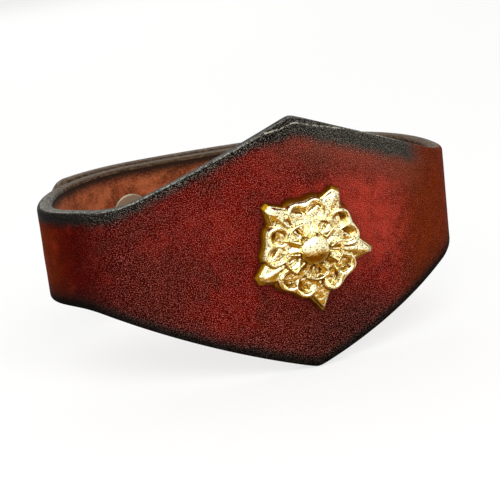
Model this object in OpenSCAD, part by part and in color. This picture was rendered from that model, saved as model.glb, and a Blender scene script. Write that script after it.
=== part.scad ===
/* [Cuff] */
// Width of the cuff across its widest place, outside to outside
cuff_w = 80; // [72:1:90]
// Depth from the widest line to the outside of the front
front_d = 20.5; // [18:0.5:24]
// Depth from the widest line to the outside of the inner layer at the back
back_d = 26; // [25.5:0.1:30]
// Radius of the two front corners, seen from above
side_r = 10; // [7:0.5:14]
// Radius of the left back corner, seen from above
back_r = 25; // [20:0.5:25.5]
// Thickness of the leather
leather_t = 3; // [2.5:0.1:3.6]
// Space between the two layers where the strap overlaps
layer_gap = 0.8; // [0.6:0.05:1]
// Height of the strap behind the front
strap_h = 18.2; // [16:0.2:24]

/* [Points of the front] */
// How far the upper point rises above the strap's edge
upper_rise = 13.6; // [8:0.2:20]
// How far the lower point drops below the strap's edge
lower_drop = 16; // [8:0.2:22]
// Distance of both points from the middle of the front, along the leather
point_s = 6.7; // [0:0.1:9]
// Length of each upper slope, along the leather
upper_run = 35; // [30:0.5:38]
// Length of each lower slope, along the leather
lower_run = 44.5; // [38:0.5:46]
// Width of the blunt end of each point
point_w = 1.2; // [0.8:0.1:3]
// Radius where a slope runs into the strap's edge
slope_r = 25; // [10:1:30]

/* [Ends of the strap] */
// Length of the inner end past the middle of the back
inner_end = 9.6; // [8.6:0.2:12]
// Angle from the left side at which the outer end stops
outer_end = 40; // [36:1:44]
// Radius of the corners of both ends
end_r = 5; // [3:0.5:7]
// Angle from the right side at which the strap flexes
right_flex = 50; // [44:1:56]
// Angle from the left side at which the strap flexes
left_flex = 30; // [24:1:32]
// Width of the parting line at each flex line
flex_gap = 0.3; // [0.2:0.05:0.4]

/* [Snaps] */
// Distance of the first snap from the middle of the back, towards the left
snap_s = 21.2; // [20:0.2:22]
// Distance between the two snaps
snap_pitch = 20; // [18:0.5:21]
// Diameter of the domed cap
cap_d = 12.5; // [11:0.5:14]
// Height of the domed cap
cap_h = 2.2; // [1.6:0.1:3]
// How deep the cap is pressed into the leather
cap_sink = 0.4; // [0.3:0.05:0.6]
// Diameter of the cap's post
post_d = 3.6; // [3.4:0.05:3.8]
// Diameter of the bore up the cap's post
post_bore_d = 2.2; // [1.8:0.1:2.6]
// Diameter of the socket
socket_d = 9.6; // [9:0.1:10.4]
// Diameter of the socket's mouth
mouth_d = 5.1; // [5:0.05:5.3]
// Height of the mouth's lip
lip_h = 0.5; // [0.4:0.05:0.6]
// Diameter of the groove that holds the spring
groove_d = 6.6; // [6.4:0.1:7.4]
// Height of the groove that holds the spring
groove_h = 0.5; // [0.45:0.05:0.6]
// Thickness of the socket's web
web_t = 0.45; // [0.35:0.05:0.55]
// Thickness of the rolled rim at the end of the cap's post
rim_t = 0.35; // [0.25:0.05:0.35]
// Thickness of the spring wire
spring_wire_d = 0.36; // [0.3:0.02:0.4]
// Opening in the spring ring, as an angle
spring_open = 40; // [20:5:70]
// Diameter of the stud's flange
stud_flange_d = 8.4; // [7.6:0.1:9]
// Thickness of the stud's flange
stud_flange_t = 0.5; // [0.4:0.05:0.6]
// Diameter of the stud's neck
neck_d = 3.7; // [3.6:0.05:3.9]
// Diameter of the stud's head
head_d = 4.2; // [4.15:0.05:4.3]
// Height of the stud's head above its flange
head_h = 1.15; // [1.05:0.05:1.2]
// Diameter of the eyelet's flange
eyelet_d = 7.6; // [6.8:0.1:8.4]
// Thickness of the eyelet's flange
eyelet_t = 0.6; // [0.4:0.05:0.8]
// Outside diameter of the eyelet's tube
tube_d = 3; // [2.8:0.05:3.05]
// Inside diameter of the eyelet's tube
tube_bore_d = 2.2; // [1.8:0.1:2.4]

/* [Rose] */
// Distance from the rose's middle to the tip of a leaf
rose_r = 12; // [10:0.1:13]
// Height of the rose from its flat back to the top of its boss
rose_h = 4.7; // [3.8:0.1:5.6]
// Distance of the rose from the middle of the front, along the leather
rose_s = 7; // [3:0.1:9]
// Height of the rose's middle above the middle of the strap
rose_z = -1.3; // [-4:0.1:4]
// Turn of the rose, from the right to its first leaf
rose_turn = -13; // [-36:1:36]
// Width by which the cast side wall's foot stands out beyond its top
foot_w = 0.8; // [0.1:0.05:1]
// Diameter of the threaded pillar behind the rose
pillar_d = 4.8; // [4.4:0.1:5.4]

/* [Rose screw] */
// Diameter of the screw's shank
shank_d = 2.9; // [2.6:0.1:3.2]
// Diameter of the screw's head
screw_head_d = 7.5; // [6.5:0.1:8.5]
// Thickness of the screw's head
screw_head_t = 1.1; // [0.8:0.1:1.4]
// Width of the screw's slot
slot_w = 1; // [0.7:0.1:1.3]
// Depth of the screw's slot
slot_depth = 0.55; // [0.4:0.05:0.7]

/* [Clearances] */
// Space round a shank or tube in metal, on the radius
metal_fit = 0.05; // [0.03:0.01:0.08]
// Space round a metal piece in leather, on the radius
leather_fit = 0.1; // [0.05:0.01:0.15]
// Space under the rose's back at the crest of the leather
rose_lift = 0.2; // [0.1:0.05:0.4]
// Space between the socket and the stud's flange
socket_lift = 0.4; // [0.3:0.05:0.5]

/* [Hidden] */
$fn = 96;

leather_colour = [0.44, 0.11, 0.08];
strap_colour = [0.40, 0.13, 0.08];
gold_colour = [0.93, 0.80, 0.45];
nickel_colour = [0.72, 0.72, 0.70];

// Plan of the cuff, seen from above with the front towards -Y
half_w = cuff_w / 2;
function arc_radius(depth, corner) = (half_w^2 - 2*half_w*corner + depth^2) / (2*(depth - corner));
function turn(length, radius) = length / radius * 180 / PI;
function along(angle, radius) = angle * PI / 180 * radius;
front_radius = arc_radius(front_d, side_r);
front_turn = asin((half_w - side_r) / (front_radius - side_r));
front_centre = [0, front_radius - front_d];
back_radius = arc_radius(back_d, back_r);
back_turn = asin((half_w - back_r) / (back_radius - back_r));
back_centre = [0, back_d - back_radius];
left_centre = [back_r - half_w, 0];
// The outer end lies over the inner one, and the right back corner leads into it
layer_step = layer_gap + leather_t;
outer_radius = back_radius + layer_step;
right_r = (outer_radius^2 - half_w^2 - back_centre.y^2) / (2*(outer_radius - half_w));
right_centre = [half_w - right_r, 0];
right_turn = atan2(right_centre.x, -back_centre.y);
lap_r = back_r + layer_step;
front_length = along(front_turn, front_radius);
side_length = along(90 - front_turn, side_r);
back_length = along(back_turn, back_radius);

// Point on the outside of the front, s along the leather from its middle
function front_point(s) =
    let (m = abs(s), side = sign(s), rest = m - front_length - side_length,
         corner = s > 0 ? right_r : back_r, round = front_turn + turn(m - front_length, side_r))
    m <= front_length ? front_centre + front_radius*[sin(turn(s, front_radius)), -cos(turn(s, front_radius))]
    : rest <= 0 ? [side*(half_w - side_r + side_r*sin(round)), -side_r*cos(round)]
    : [side*(half_w - corner + corner*cos(turn(rest, corner))), corner*sin(turn(rest, corner))];

// Frame of the whole model: bottom point at z = 0, plan centred on the box
strap_z = strap_h/2 + lower_drop;
rose_angle = turn(rose_s, front_radius);
cap_seat = layer_step - cap_sink;
y_front = front_point(rose_s).y - (rose_lift + rose_h)*cos(rose_angle);
y_back = back_centre.y + (back_radius + cap_seat + cap_h)*cos(turn(snap_s - snap_pitch, back_radius));
y_shift = -(y_front + y_back)/2;

// Levels of a snap, measured outwards from the outside of the inner layer
stud_sink = 0.6;
stud_top = stud_flange_t - stud_sink;
socket_foot = stud_top + socket_lift;
groove_foot = socket_foot + lip_h;
socket_top = layer_gap + 1.4;
web_foot = socket_top - web_t;
rim_play = 0.05;
head_top = stud_top + head_h;
over = 1;
// Greatest distance between an arc of the plan and its chords
chord_error = 0.02;

module placed() {
    translate([0, y_shift, strap_z]) children();
}

// Points along the outside of the arcs, or inset from it; an arc is [centre, radius, from, to]
function arc_steps(arc) = ceil((arc[3] - arc[2]) / (2*acos(1 - chord_error/arc[1])));
function wall_side(arcs, inset) = [for (k = [0:len(arcs) - 1])
    let (arc = arcs[k], steps = arc_steps(arc))
    for (i = [k == 0 ? 0 : 1:steps])
    let (angle = arc[2] + (arc[3] - arc[2])*i/steps)
    arc[0] + (arc[1] - inset)*[cos(angle), sin(angle)]];

// Leather wall that follows the arcs, from z = low to z = high
module wall(arcs, low = -strap_h/2, high = strap_h/2) {
    flesh = wall_side(arcs, leather_t);
    translate([0, 0, low]) linear_extrude(high - low)
        polygon(concat(wall_side(arcs, 0), [for (i = [len(flesh) - 1:-1:0]) flesh[i]]));
}

// Children stand on the wall with x to the right, y up and z outwards
module on_wall(centre, radius, angle, height = 0) {
    translate([centre.x + radius*cos(angle), centre.y + radius*sin(angle), height])
        rotate([90, 0, angle + 90]) children();
}

module on_front() {
    on_wall(front_centre, front_radius, rose_angle - 90, rose_z) children();
}

// The snaps sit at s along the inner layer, from the middle of the back to the left
module on_back(s) {
    in_corner = s > back_length;
    if (in_corner) on_wall(left_centre, back_r, 90 + back_turn + turn(s - back_length, back_r)) children();
    else on_wall(back_centre, back_radius, 90 + turn(s, back_radius)) children();
}

// Waste above one slope: side is 1 to the right and -1 to the left of the points
module slope_waste(rise, run, side) {
    foot = front_point(point_s + side*run) - front_point(point_s);
    length = norm(foot);
    tilt = atan(rise / (length - point_w/2));
    steps = 10;
    beyond = cuff_w;
    round_u = length + slope_r*tan(tilt/2);
    curve = [for (i = [steps:-1:0]) let (t = tilt*i/steps) [round_u - slope_r*sin(t), slope_r*(1 - cos(t))]];
    start = front_point(point_s);
    translate([start.x, start.y, strap_h/2]) rotate([90, 0, atan2(foot.y, foot.x)])
        translate([0, 0, -beyond]) linear_extrude(2*beyond)
            polygon(concat([[-over, tan(tilt)*(length + over)]], curve,
                           [[beyond, 0], [beyond, rise + 5*over], [-over, rise + 5*over]]));
}

module leather_hole(diameter, low, high) {
    translate([0, 0, low]) cylinder(d = diameter + 2*leather_fit, h = high - low);
}

module front_panel() {
    top = strap_h/2 + upper_rise;
    foot = -strap_h/2 - lower_drop;
    right_stop = right_flex - turn(flex_gap/2, right_r);
    left_stop = left_flex - turn(flex_gap/2, back_r);
    color(leather_colour) placed() difference() {
        wall([[left_centre, back_r, 180 - left_stop, 180],
              [[side_r - half_w, 0], side_r, 180, 270 - front_turn],
              [front_centre, front_radius, 270 - front_turn, 270 + front_turn],
              [[half_w - side_r, 0], side_r, 270 + front_turn, 360],
              [right_centre, right_r, 360, 360 + right_stop]], foot, top);
        for (side = [-1, 1]) {
            slope_waste(upper_rise, upper_run, side);
            mirror([0, 0, 1]) slope_waste(lower_drop, lower_run, side);
        }
        on_front() {
            leather_hole(pillar_d, -leather_t - over, over);
            leather_hole(screw_head_d, -leather_t - screw_head_t, -leather_t);
        }
    }
}

// Waste past a strap's end with its two round corners; x points past the end, z through the leather
module end_waste() {
    steps = 8;
    // The outline starts just outside the strap's edge, so that it shares no face with it
    high = strap_h/2 + chord_error;
    corner = [for (i = [0:steps]) let (t = 90*i/steps) [end_r*sin(t) - end_r, high - end_r + end_r*cos(t)]];
    translate([0, 0, -2*leather_t]) linear_extrude(4*leather_t)
        polygon(concat([[-end_r, high + over]], corner, [for (i = [steps:-1:0]) [corner[i].x, -corner[i].y]],
                       [[-end_r, -high - over], [2*over, -high - over], [2*over, high + over]]));
}

// Outer end of the strap, from the flex line at the right to the left back corner
module cap_flap() {
    start = right_flex + turn(flex_gap/2, right_r);
    stop = 180 - outer_end;
    color(strap_colour) placed() difference() {
        wall([[right_centre, right_r, start, 90 - right_turn],
              [back_centre, outer_radius, 90 - right_turn, 90 + back_turn],
              [left_centre, lap_r, 90 + back_turn, stop + turn(over, lap_r)]]);
        on_wall(left_centre, lap_r, stop) end_waste();
        for (s = [snap_s, snap_s - snap_pitch]) on_back(s) {
            leather_hole(post_d, 0, layer_step + over);
            leather_hole(socket_d, 0, socket_top);
            leather_hole(cap_d, cap_seat, layer_step + over);
        }
    }
}

// Inner end of the strap, from the flex line at the left to past the middle of the back
module stud_flap() {
    start = 180 - left_flex - turn(flex_gap/2, back_r);
    stop = 90 - turn(inner_end, back_radius);
    color(strap_colour) placed() difference() {
        wall([[back_centre, back_radius, stop - turn(over, back_radius), 90 + back_turn],
              [left_centre, back_r, 90 + back_turn, start]]);
        on_wall(back_centre, back_radius, stop) mirror([1, 0, 0]) end_waste();
        for (s = [snap_s, snap_s - snap_pitch]) on_back(s) {
            leather_hole(tube_d, -leather_t - over, over);
            leather_hole(stud_flange_d, -stud_sink, over);
            leather_hole(eyelet_d, -leather_t - over, -leather_t);
        }
    }
}

// Relief of the rose, in shares of its radius and height; angles from the nearest leaf
leaf_base_r = 0.74;
leaf_base_w = 0.155;
lobe_r = 0.785;
lobe_angle = 15;
notch_depth = 0.04;
petal_half = 31;
petal_rim = 0.055;
scoop_r = 0.585;
scoop_angle = 15.5;
scoop_size = 0.16;
scoop_depth = 0.22;
cup_r = 0.48;
cup_half = 30;
boss_r = 0.235;
leaf_level = 0.40;
floor_level = 0.42;
rim_rise = 0.16;
cup_level = 0.50;
cup_rise = 0.24;
boss_level = 0.62;

function bump(x, width) = exp(-(x/width)^2);
function ease(low, high, x) = let (t = min(1, max(0, (x - low)/(high - low)))) t*t*(3 - 2*t);
function leaf_angle(angle) = let (m = ((angle % 72) + 72) % 72) m > 36 ? 72 - m : m;
function leaf_edge(a) = 1 / (cos(a) + (1 - leaf_base_r)/leaf_base_w*sin(a));
function petal_edge(b) = b < lobe_angle ? lobe_r - notch_depth*(1 + cos(b*180/lobe_angle))/2
                                        : lobe_r - 0.0005*(b - lobe_angle)^2;
function rose_edge(angle) = let (a = leaf_angle(angle)) max(leaf_edge(a), petal_edge(36 - a));
function petal_inset(r, b) = min(petal_edge(b) - r, r*sin(petal_half - b));
function cup_inset(r, a) = min(cup_r + 0.02*cos(6*a) - r, r*sin(cup_half - a));
function scoop_shape(r, b) = 1 - ease(0.1, 1, norm([r*cos(b) - scoop_r*cos(scoop_angle),
    1.15*(r*sin(b) - scoop_r*sin(scoop_angle))])/scoop_size);
function petal_level(r, b) = let (d = petal_inset(r, b))
    d < 0 ? 0 : floor_level + 0.10*(1 - ease(0.45, 0.66, r)) - scoop_depth*scoop_shape(r, b)
                + rim_rise*bump(d - petal_rim, 0.05);
function cup_shape(r, a) = let (d = cup_inset(r, a))
    d < 0 || r < boss_r ? 0 : cup_level - 0.08*ease(0.26, 0.4, r) + cup_rise*bump(d - petal_rim, 0.045);
function boss_shape(r) = r >= boss_r ? 0 : boss_level + (1 - boss_level)*sqrt(1 - (r/boss_r)^2);
function rib_level(r, a) = leaf_level + 0.07*bump(r*sin(a), 0.05)*(1 - ease(0.85, 1, r))
    - 0.14*bump(leaf_edge(a) - r, 0.045);
function rose_level(r, angle) = let (a = leaf_angle(angle))
    max(rib_level(r, a), petal_level(r, 36 - a), cup_shape(r, a), boss_shape(r));

// Cast five-petalled rose, one closed skin of rings from the middle outwards
module rose_skin() {
    spokes = 120;
    rings = 24;
    step = 360/spokes;
    top = [for (j = [1:rings], i = [0:spokes - 1])
        let (angle = i*step, r = rose_edge(angle)*j/rings)
        [rose_r*r*cos(angle), rose_r*r*sin(angle), rose_h*rose_level(r, angle)]];
    foot = [for (i = [0:spokes - 1]) let (angle = i*step, r = rose_r*rose_edge(angle) + foot_w)
        [r*cos(angle), r*sin(angle), 0]];
    centre = len(top) + spokes;
    fan = [for (i = [0:spokes - 1]) [i, centre, (i + 1) % spokes]];
    skin = [for (j = [0:rings - 1], i = [0:spokes - 1], half = [0, 1])
        let (here = j*spokes, next = here + spokes, k = (i + 1) % spokes)
        half == 0 ? [here + i, here + k, next + k] : [here + i, next + k, next + i]];
    back = [for (i = [0:spokes - 1]) len(top) + i];
    polyhedron(points = concat(top, foot, [[0, 0, rose_h]]), faces = concat(fan, skin, [back]));
}

module rose_concho() {
    pillar_foot = -leather_t + 0.4;
    bore_top = 1.4;
    color(gold_colour) placed() on_front() difference() {
        union() {
            translate([0, 0, rose_lift]) rotate([0, 0, rose_turn]) rose_skin();
            translate([0, 0, pillar_foot]) cylinder(d = pillar_d, h = bore_top - pillar_foot);
        }
        translate([0, 0, pillar_foot - over])
            cylinder(d = shank_d + 2*metal_fit, h = bore_top - pillar_foot + over);
    }
}

module concho_screw() {
    foot = -leather_t - screw_head_t;
    bevel = 0.2;
    shank_top = 1;
    r = screw_head_d/2;
    color(gold_colour) placed() on_front() difference() {
        rotate_extrude() polygon([[0, foot], [r - bevel, foot], [r, foot + bevel], [r, -leather_t],
                                  [shank_d/2, -leather_t], [shank_d/2, shank_top - bevel],
                                  [shank_d/2 - bevel, shank_top], [0, shank_top]]);
        translate([-screw_head_d, -slot_w/2, foot - over]) cube([2*screw_head_d, slot_w, slot_depth + over]);
    }
}

// Domed cap with its hollow post, whose end is rolled out under the socket's web
module snap_cap(s) {
    r = cap_d/2;
    edge = 0.6;
    dome_r = ((r - edge/2)^2 + (cap_h - edge)^2) / (2*(cap_h - edge));
    rim_top = web_foot - rim_play;
    rim_foot = rim_top - rim_t;
    color(nickel_colour) placed() on_back(s) rotate_extrude() difference() {
        union() {
            intersection() {
                translate([0, cap_seat + cap_h - dome_r]) circle(dome_r);
                translate([0, cap_seat + edge]) square([r, cap_h]);
            }
            translate([0, cap_seat]) square([r - edge/2, edge + 0.01]);
            translate([r - edge/2, cap_seat + edge/2]) circle(edge/2, $fn = 32);
            translate([0, rim_foot]) square([post_d/2, cap_seat - rim_foot]);
            translate([0, rim_foot]) square([post_d/2 + 0.6, rim_t]);
        }
        translate([-cap_d, 0]) square([cap_d, 2*cap_d]);
        translate([-over, rim_foot - over]) square([over + post_bore_d/2, cap_seat - rim_foot]);
    }
}

// Socket with its mouth, the groove of the spring and the web round the cap's post
module snap_socket(s) {
    r = socket_d/2;
    bevel = 0.25;
    well_r = post_d/2 + 0.6 + 2*metal_fit;
    color(nickel_colour) placed() on_back(s) rotate_extrude()
        polygon([[mouth_d/2, socket_foot], [r - bevel, socket_foot], [r, socket_foot + bevel],
                 [r, socket_top - bevel], [r - bevel, socket_top], [post_d/2 + metal_fit, socket_top],
                 [post_d/2 + metal_fit, web_foot], [well_r, web_foot], [well_r, groove_foot + groove_h],
                 [groove_d/2, groove_foot + groove_h], [groove_d/2, groove_foot], [mouth_d/2, groove_foot]]);
}

// Open ring of spring wire in the socket's groove
module socket_spring(s) {
    ring_r = groove_d/2 - spring_wire_d/2 - 0.45;
    color(nickel_colour) placed() on_back(s) translate([0, 0, groove_foot + groove_h/2])
        rotate([0, 0, spring_open/2]) rotate_extrude(angle = 360 - spring_open)
            translate([ring_r, 0]) circle(d = spring_wire_d, $fn = 24);
}

// Stud with its flange let into the inner layer, and the well that takes the eyelet's rim
module snap_stud(s) {
    r = head_d/2;
    bore = tube_d/2 + metal_fit;
    well = bore + 0.3;
    well_foot = head_top - 0.5;
    color(nickel_colour) placed() on_back(s) rotate_extrude()
        polygon([[bore, -stud_sink], [stud_flange_d/2, -stud_sink], [stud_flange_d/2, stud_top - 0.1],
                 [stud_flange_d/2 - 0.1, stud_top], [neck_d/2, stud_top], [neck_d/2, stud_top + 0.4],
                 [r, stud_top + 0.55], [r, head_top - 0.2], [r - 0.15, head_top], [well, head_top],
                 [well, well_foot], [bore, well_foot]]);
}

// Eyelet: flange on the flesh side, tube through the leather, rim rolled out in the stud
module snap_eyelet(s) {
    foot = -leather_t - eyelet_t;
    bevel = 0.2;
    rim = tube_d/2 + 0.3;
    rim_top = head_top - 0.1;
    rim_foot = head_top - 0.5 + rim_play;
    color(nickel_colour) placed() on_back(s) rotate_extrude()
        polygon([[tube_bore_d/2 + bevel, foot], [eyelet_d/2 - bevel, foot], [eyelet_d/2, foot + bevel],
                 [eyelet_d/2, -leather_t], [tube_d/2, -leather_t], [tube_d/2, rim_foot], [rim, rim_foot],
                 [rim, rim_top], [tube_bore_d/2, rim_top], [tube_bore_d/2, foot + bevel]]);
}

snap_a = snap_s;
snap_b = snap_s - snap_pitch;
front_panel();
cap_flap();
stud_flap();
rose_concho();
concho_screw();
snap_cap(snap_a);  // snap_cap_a
snap_socket(snap_a);  // snap_socket_a
socket_spring(snap_a);  // socket_spring_a
snap_stud(snap_a);  // snap_stud_a
snap_eyelet(snap_a);  // snap_eyelet_a
snap_cap(snap_b);  // snap_cap_b
snap_socket(snap_b);  // snap_socket_b
socket_spring(snap_b);  // socket_spring_b
snap_stud(snap_b);  // snap_stud_b
snap_eyelet(snap_b);  // snap_eyelet_b
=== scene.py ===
"""Looks of the leather bracer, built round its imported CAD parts.

Sizes are in millimetres, apart from those of the stage, which are in metres. A place on the
leather is given by s, the length along the leather from the middle of the front, z, the
height above the middle of the strap, and n, the depth below the grain side.
"""

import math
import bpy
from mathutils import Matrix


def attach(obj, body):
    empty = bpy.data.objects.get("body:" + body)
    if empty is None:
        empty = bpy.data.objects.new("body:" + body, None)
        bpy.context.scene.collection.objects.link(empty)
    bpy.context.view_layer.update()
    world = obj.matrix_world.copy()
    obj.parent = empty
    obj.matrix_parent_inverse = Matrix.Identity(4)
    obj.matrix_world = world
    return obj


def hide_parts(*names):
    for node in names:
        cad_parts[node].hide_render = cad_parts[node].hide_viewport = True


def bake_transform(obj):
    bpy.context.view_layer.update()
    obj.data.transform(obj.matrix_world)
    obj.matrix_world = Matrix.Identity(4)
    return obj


bl_info = {
    "name": "Leather bracer",
    "version": (1, 0, 0),
    "blender": (4, 5, 0),
    "location": "View3D > Sidebar > Bracer",
    "description": "Leather, cast rose, screw, snaps and stage of the leather bracer",
    "category": "Object",
}

from functools import partial

import bpy
import numpy as np
from bpy.props import FloatProperty, FloatVectorProperty, PointerProperty
from mathutils import Matrix, Vector

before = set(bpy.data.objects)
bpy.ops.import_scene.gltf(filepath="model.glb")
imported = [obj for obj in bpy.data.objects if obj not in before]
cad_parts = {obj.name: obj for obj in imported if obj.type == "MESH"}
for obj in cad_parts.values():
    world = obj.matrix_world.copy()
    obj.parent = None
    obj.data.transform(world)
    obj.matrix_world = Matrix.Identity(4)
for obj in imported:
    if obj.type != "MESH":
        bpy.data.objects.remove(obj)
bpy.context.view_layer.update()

MM = 0.001

# Plan of the cuff, as in the part's source: circle centres, radii and angles in degrees
HALF_WIDTH = 40.0
SIDE_RADIUS = 10.0
FRONT_RADIUS = 58.1071
FRONT_TURN = 38.5801
FRONT_CENTRE = (0.0, 37.6071)
RIGHT_CENTRE = (10.7110, 0.0)
RIGHT_RADIUS = 29.2890
RIGHT_TURN = 5.46281
LEFT_CENTRE = (-15.0, 0.0)
LEFT_RADIUS = 25.0
BACK_CENTRE = (0.0, -112.0)
BACK_RADIUS = 138.0
BACK_TURN = 7.62815
LAYER_STEP = 3.8
OUTER_END = 40.0
INNER_END = 9.6
PLAN_SHIFT = -3.3256
STRAP_MIDDLE = 25.1
THICKNESS = 3.0
STRAP_HALF = 9.1
END_RADIUS = 5.0
FLAT_HALF = STRAP_HALF - END_RADIUS

# Points of the front: rise or drop, length of each slope, and the fillet at its foot
UPPER_RISE = 13.6
UPPER_RUN = 35.0
LOWER_DROP = 16.0
LOWER_RUN = 44.5
POINT_S = 6.7
POINT_HALF = 0.6
SLOPE_RADIUS = 25.0
# Cosine of the slopes' mean tilt, which turns a height below a slope into a distance from it
SLANT = 0.93

# Skin of the leather: columns and rows of each strip, columns round an end's corner, rings of the
# cut edge that still show the grain, growth of the distance to the end, and width of the map "pattern"
LAP_GRID = (372, 84)
INNER_GRID = (140, 40)
BEND_STEPS = 8
GRAIN_RINGS = 4
END_TAPER = 0.3
PATTERN_SIZE = 300

# Holes for the snaps, and dents as radius, fade, depth on the grain and depth on the flesh: seat of
# the cap, room for the socket, seat of the stud, and print of the eyelet
LAP_HOLE = 1.9
LAP_DENTS = ((5.9, 1.6, 0.42, 0), (3.2, 1.3, 0, 1.5))
INNER_HOLE = 1.6
INNER_DENTS = ((4.1, 0.3, 0.65, 0), (3.7, 1.2, 0, 0.12))

# Snaps: place along the inner layer from the middle of the back, and levels from its grain side
SNAP_S = 21.2
SNAP_PITCH = 20.0
CAP_SEAT = 3.4
CAP_HEIGHT = 2.2
SOCKET_FOOT = 0.3
GROOVE_FOOT = 0.8
GROOVE_TOP = 1.3
WEB_FOOT = 1.75
SOCKET_TOP = 2.2
STUD_FOOT = -0.6
STUD_TOP = -0.1
HEAD_TOP = 1.05
EYELET_SEAT = -3.0
EYELET_FOOT = -3.6

# Snaps: thickness of the cap's rolled edge, radii, and the spring's play in its groove and its opening
# in degrees
CAP_EDGE = 0.6
CAP_R = 6.25
SEAT_R = 5.6
POST_R = 1.8
POST_BORE_R = 1.1
POST_RIM_R = 2.4
SOCKET_R = 4.8
MOUTH_R = 2.55
GROOVE_R = 3.3
WELL_R = 2.5
WEB_HOLE_R = 1.85
FLANGE_R = 4.2
HEAD_R = 2.1
HEAD_WELL_R = 1.85
NECK_R = 1.85
STUD_BORE_R = 1.55
EYELET_R = 3.8
TUBE_R = 1.5
TUBE_BORE_R = 1.1
TUBE_RIM_R = 1.8
WIRE_R = 0.18
SPRING_PLAY = 0.45
SPRING_OPENING = 40

# Rose: place on the front, radius, height and turn
ROSE_S = 7.0
ROSE_Z = -1.3
ROSE_RADIUS = 12.0
ROSE_HEIGHT = 4.7
ROSE_LIFT = 0.2
ROSE_TURN = -13.0
ROSE_FOOT = 0.8


def linear(text):
    """Turns an sRGB hex colour such as "a1b2c3" into linear red, green, blue and full alpha."""
    values = [int(text[i : i + 2], 16) / 255 for i in (0, 2, 4)]
    return [v / 12.92 if v <= 0.04045 else ((v + 0.055) / 1.055) ** 2.4 for v in values] + [1.0]


def colour_property(name, description, text):
    """A colour that a user may change, with its default as an sRGB hex value."""
    return FloatVectorProperty(
        name=name, description=description, subtype="COLOR", size=4, min=0, max=1, default=linear(text)
    )


def length_property(name, description, millimetres):
    """A length that a user may change, kept in metres."""
    unit = {"subtype": "DISTANCE", "unit": "LENGTH", "min": 0}
    return FloatProperty(name=name, description=description, default=millimetres * MM, **unit)


def power_property(name, watts):
    """The power of a lamp, which a user may change."""
    description = f"Power of the {name.lower()}"
    return FloatProperty(name=name, description=description, unit="POWER", default=watts)


class LeatherSettings(bpy.types.PropertyGroup):
    """Sizes and dyes of the leather."""

    grain_round: length_property("Grain edge", "Radius worn on the grain side's edge", 0.9)
    flesh_round: length_property("Flesh edge", "Radius worn on the flesh side's edge", 0.5)
    waviness: length_property("Waviness", "Height of the leather's soft waves", 0.05)
    # Also paints the light on the heart round the rose
    bright_dye_and_light: colour_property("Bright dye", "Dye round the rose", "a23020")
    main_dye: colour_property("Main dye", "Dye of most of the leather", "680c04")
    # Also paints the shadow below the rose
    brown_dye_and_shadow: colour_property("Brown dye", "Brown blots in the dye", "3e0e04")
    deep_dye: colour_property("Deep dye", "Dye towards the left of the front", "3e0200")
    side_dye: colour_property("Side dye", "Dye of the sides and the strap", "622000")
    edge_ink: colour_property("Edge ink", "Burnished edge and its border", "0a0807")
    suede: colour_property("Suede", "Flesh side", "a85a38")
    suede_shade: colour_property("Suede shade", "Darker fibres of the flesh side", "74341c")


class RoseSettings(bpy.types.PropertyGroup):
    """Finish of the cast rose and its screw."""

    hammer: length_property("Hammering", "Depth of the hammered dents", 0.10)
    pit: length_property("Pits", "Depth of the casting's pits", 0.05)
    gold: colour_property("Gold", "Polished gold plate", "fff6c8")
    brass: colour_property("Brass", "Screw behind the rose", "dcb86c")
    patina: colour_property("Patina", "Gold darkened in the hollows", "a27410")


class SnapSettings(bpy.types.PropertyGroup):
    """Finish of the snaps."""

    nickel: colour_property("Nickel", "Bright nickel plate", "aaa294")
    dull_nickel: colour_property("Dull nickel", "Tarnished plate of the eyelets", "aa9a82")
    steel: colour_property("Spring steel", "Wire of the sockets' springs", "9c9a98")


class StageSettings(bpy.types.PropertyGroup):
    """Floor, lamps and camera."""

    floor: colour_property("Floor", "Plain paper floor", "f4f3f1")
    key: power_property("Key lamp", 2.4)
    fill: power_property("Fill lamp", 0.9)
    back: power_property("Back lamp", 1.4)
    card: colour_property("Card", "Brown card that only the rose's reflections show", "b08022")
    room: FloatProperty(name="Room", description="Light from all round", min=0, default=0.55)


def frame_points(x, y, z):
    """Plan millimetres to the frame's metres: the plan is shifted to its box and lifted to the strap."""
    return np.stack([x, y + PLAN_SHIFT, z + STRAP_MIDDLE], axis=-1) * MM


def mesh_object(name, points, faces, materials, attributes=None, uv=None, sharp=50.0):
    """Makes an object of points in metres and a list of (faces, material number) arrays.

    Points that no face uses are dropped. attributes maps a name to an array with one number
    or one vector for each point, and uv gives each point's place in the map "pattern".
    """
    corners = np.concatenate([f.ravel() for f, _ in faces])
    sizes = np.concatenate([np.full(len(f), f.shape[1]) for f, _ in faces])
    numbers = np.concatenate([np.full(len(f), number) for f, number in faces])
    used, corners = np.unique(corners, return_inverse=True)
    mesh = bpy.data.meshes.new(name)
    mesh.vertices.add(len(used))
    mesh.vertices.foreach_set("co", points[used].astype(np.float32).ravel())
    mesh.loops.add(len(corners))
    mesh.loops.foreach_set("vertex_index", corners.astype(np.int32))
    mesh.polygons.add(len(sizes))
    mesh.polygons.foreach_set("loop_start", (np.cumsum(sizes) - sizes).astype(np.int32))
    mesh.polygons.foreach_set("material_index", numbers.astype(np.int32))
    mesh.update(calc_edges=True)
    for key, values in (attributes or {}).items():
        kind, field = ("FLOAT", "value") if values.ndim == 1 else ("FLOAT_VECTOR", "vector")
        layer = mesh.attributes.new(key, kind, "POINT")
        layer.data.foreach_set(field, values[used].astype(np.float32).ravel())
    if uv is not None:
        layer = mesh.uv_layers.new(name="pattern")
        layer.data.foreach_set("uv", uv[used][corners].astype(np.float32).ravel())
    for material in materials:
        mesh.materials.append(material)
    mesh.shade_smooth()
    mesh.set_sharp_from_angle(angle=math.radians(sharp))
    made = bpy.data.objects.new(name, mesh)
    bpy.context.scene.collection.objects.link(made)
    return made


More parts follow.
